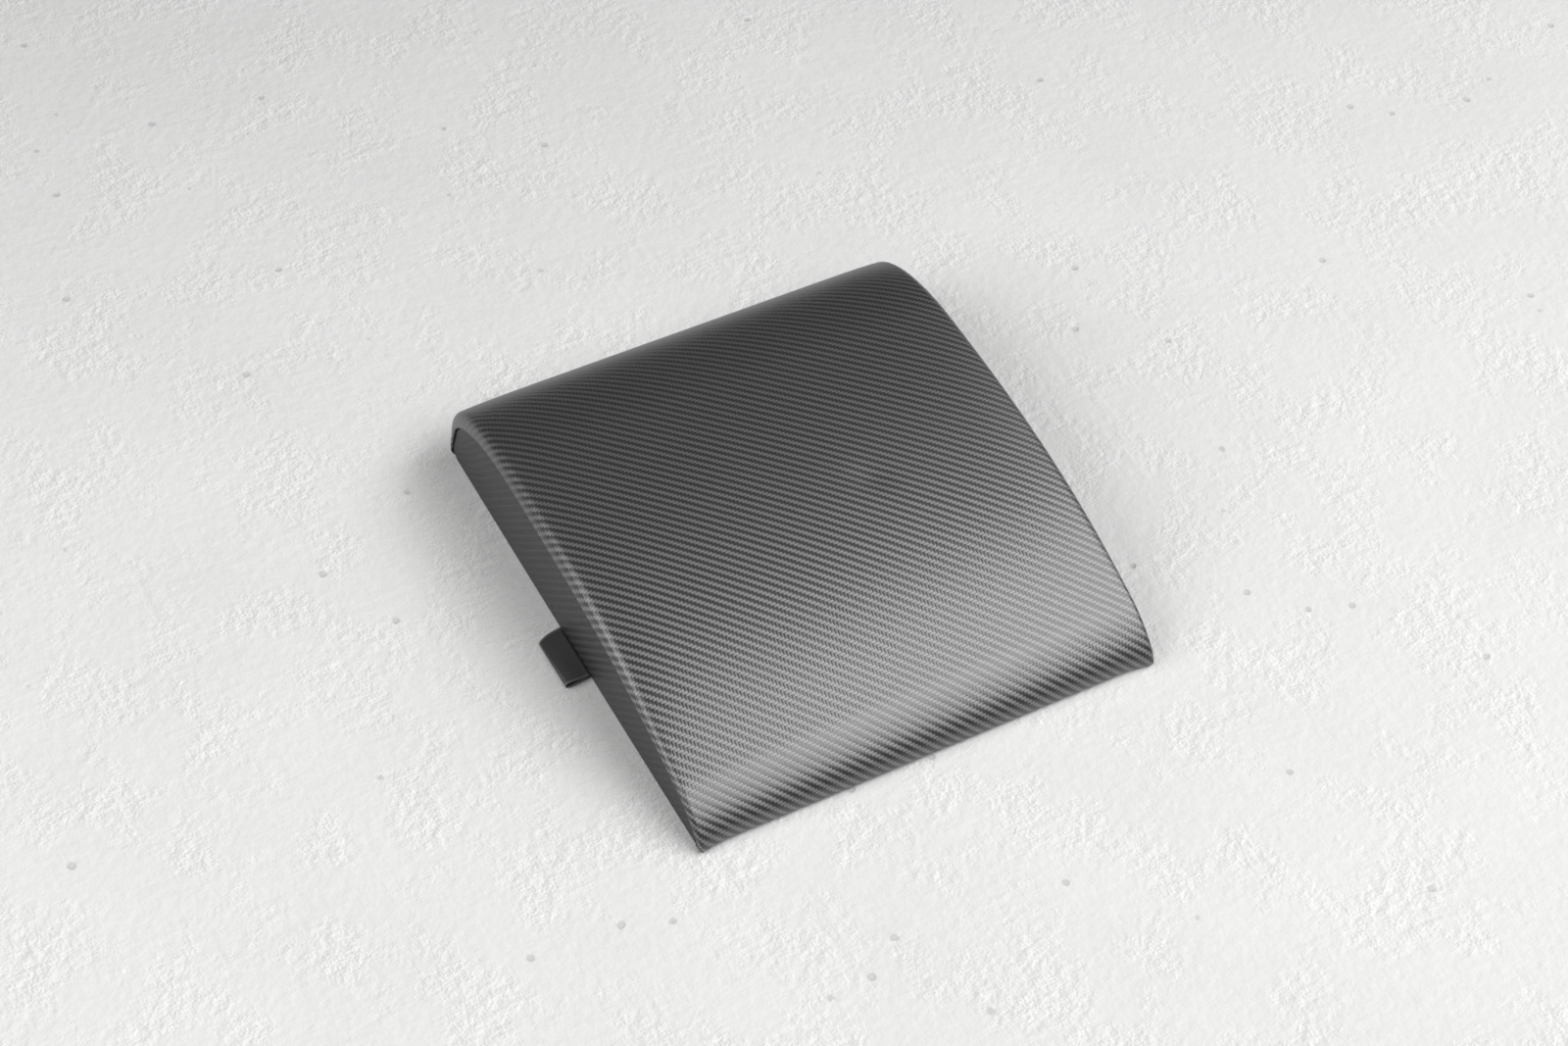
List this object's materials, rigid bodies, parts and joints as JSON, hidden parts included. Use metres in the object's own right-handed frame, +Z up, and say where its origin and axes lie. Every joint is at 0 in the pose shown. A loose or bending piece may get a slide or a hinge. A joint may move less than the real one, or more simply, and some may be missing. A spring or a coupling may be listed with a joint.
{
  "type": "ab mat",
  "caption": "Wedge-shaped foam ab mat in a sewn, embossed vinyl cover, with a curved top, a folded ribbon loop on its left side and a zip across its rear face.",
  "frame": {"origin": "middle of the underside, on the floor", "axes": "+X across the mat to its right side, +Y from the thin front edge to the tall rear, +Z up from the floor"},
  "size_m": [0.3425, 0.3727, 0.0794],
  "materials": {
    "embossed_vinyl": "satin",
    "non_slip_fabric": "matte",
    "foam": "matte",
    "ribbon": "satin",
    "zip_tape": "matte",
    "zip_teeth": "satin",
    "black_metal": "satin"
  },
  "bodies": {
    "mat": {"foam_core": "foam", "top_panel": "embossed_vinyl", "left_side_panel": "embossed_vinyl", "right_side_panel": "embossed_vinyl", "base_panel": "non_slip_fabric", "side_loop": "ribbon", "zip_tape_upper": "zip_tape", "zip_tape_lower": "zip_tape", "zip_teeth_upper": "zip_teeth", "zip_teeth_lower": "zip_teeth", "zip_top_stop_upper": "black_metal", "zip_top_stop_lower": "black_metal", "zip_bottom_stop": "black_metal", "zip_end_tab_left": "embossed_vinyl", "zip_end_tab_right": "embossed_vinyl"},
    "slider": {"zip_slider": "black_metal", "zip_slider_back": "black_metal"},
    "pull": {"zip_pull": "black_metal"}
  },
  "joints": [
    {"name": "zip_run", "type": "slide", "parent": "mat", "child": "slider", "axis": [-1, 0, 0], "range_m": [0, 0.24]},
    {"name": "pull_turn", "type": "hinge", "parent": "slider", "child": "pull", "pos_m": [0.12, 0.1852, 0.013], "axis": [0, 0, -1], "range_deg": [0, 180]}
  ]
}
